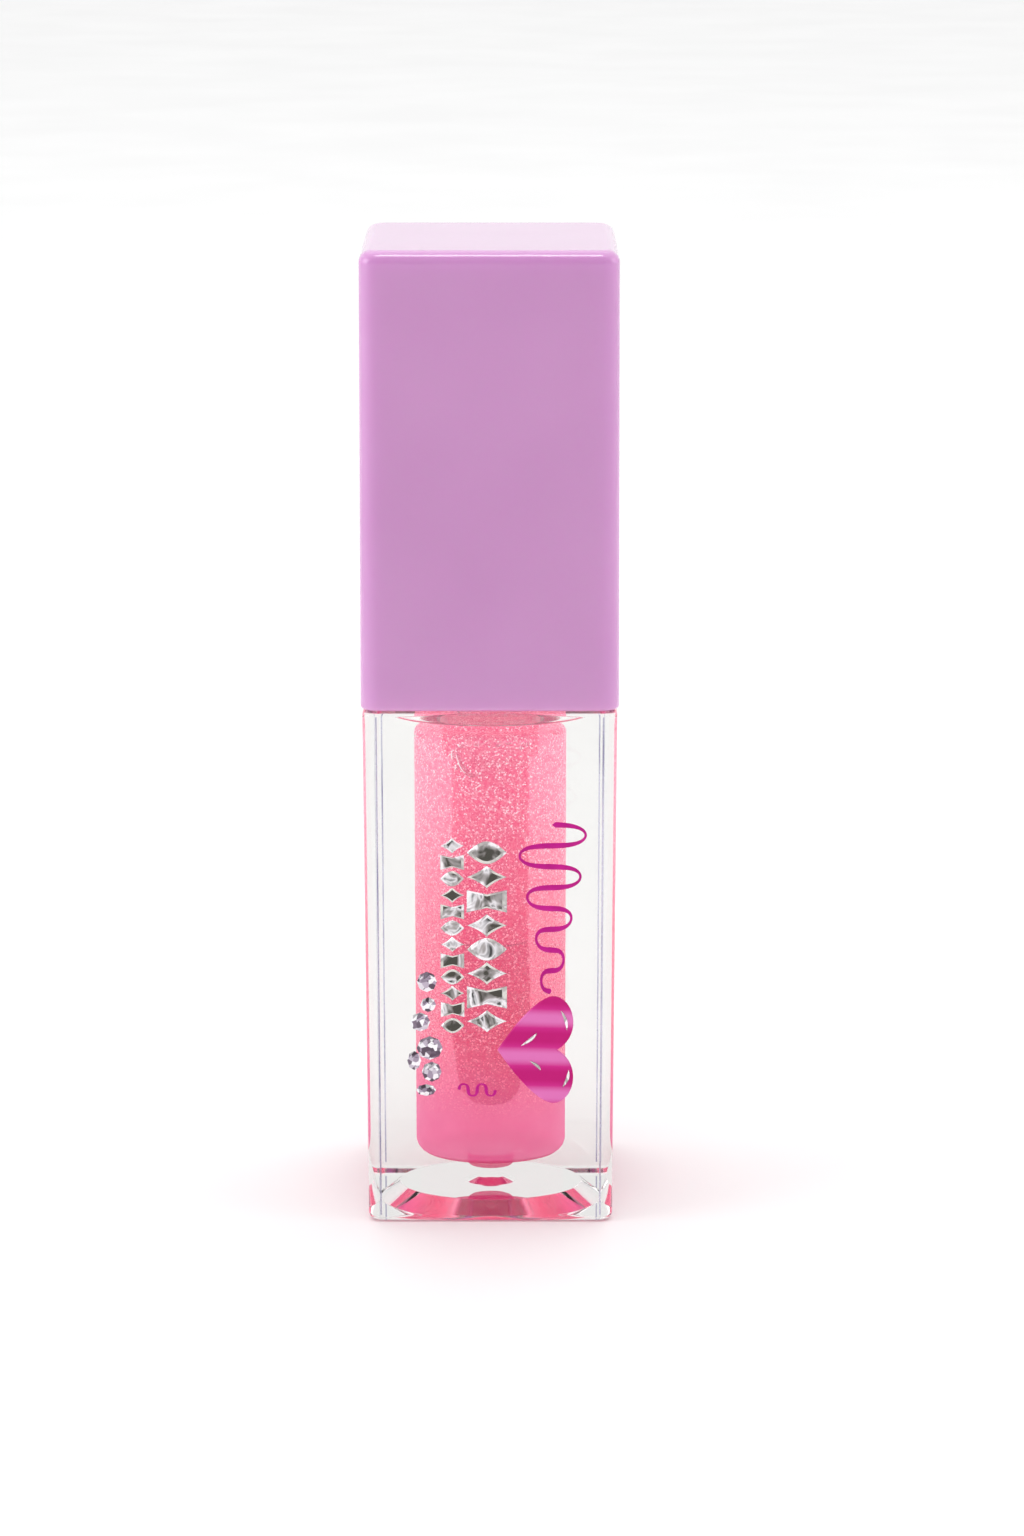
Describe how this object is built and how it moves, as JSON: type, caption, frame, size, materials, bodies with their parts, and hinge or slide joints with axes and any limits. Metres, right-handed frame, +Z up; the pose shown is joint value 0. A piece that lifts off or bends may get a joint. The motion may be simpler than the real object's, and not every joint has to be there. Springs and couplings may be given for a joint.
{
  "type": "lip gloss tube",
  "caption": "Square clear lip gloss bottle with a round oil chamber, wiper and neck thread, and a tall lilac screw cap that carries a wand with a slanted flocked tip.",
  "frame": {"origin": "centre of the square foot that the bottle stands on", "axes": "+Z up along the bottle and the cap, -Y out of the printed front face, +X to the right of it"},
  "size_m": [0.0204, 0.0204, 0.0787],
  "materials": {
    "clear_plastic": "thick, clear, polished moulded plastic",
    "lilac_plastic": "opaque lilac plastic with a soft gloss",
    "milky_plastic": "natural translucent white plastic",
    "glitter_oil": "pink oil full of fine glitter",
    "stem_plastic": "smooth pinkish lilac plastic",
    "flocked_tip": "short soft flock",
    "foam_seal": "closed-cell white foam",
    "silver_foil": "hot-stamped silver foil",
    "magenta_ink": "glossy magenta ink",
    "rhinestone": "foil-backed faceted crystal"
  },
  "bodies": {
    "bottle": {"bottle": "clear_plastic", "wiper": "milky_plastic", "lip_oil": "glitter_oil", "foil_band_wide": "silver_foil", "foil_band_narrow": "silver_foil", "flourish_print": "magenta_ink", "ripple_print": "magenta_ink", "heart_print": "magenta_ink", "gem_1": "rhinestone", "gem_2": "rhinestone", "gem_3": "rhinestone", "gem_4": "rhinestone", "gem_5": "rhinestone", "gem_6": "rhinestone", "gem_7": "rhinestone"},
    "seal": {"gasket": "foam_seal"},
    "stem": {"wand_stem": "stem_plastic"},
    "cap": {"cap_shell": "lilac_plastic", "cap_insert": "milky_plastic", "applicator_tip": "flocked_tip"}
  },
  "joints": [
    {"name": "wand_pull", "type": "slide", "parent": "bottle", "child": "seal", "axis": [0, 0, 1], "range_m": [0, 0.06]},
    {"name": "thread_rise", "type": "slide", "parent": "seal", "child": "stem", "axis": [0, 0, 1], "range_m": [0, 0.005]},
    {"name": "cap_turn", "type": "hinge", "parent": "stem", "child": "cap", "pos_m": [0, 0, 0.06], "axis": [0, 0, 1], "range_deg": [0, 510]}
  ],
  "couplings": [
    {"joint": "thread_rise", "follows": "cap_turn", "m_per_rad": 0.0005093}
  ]
}
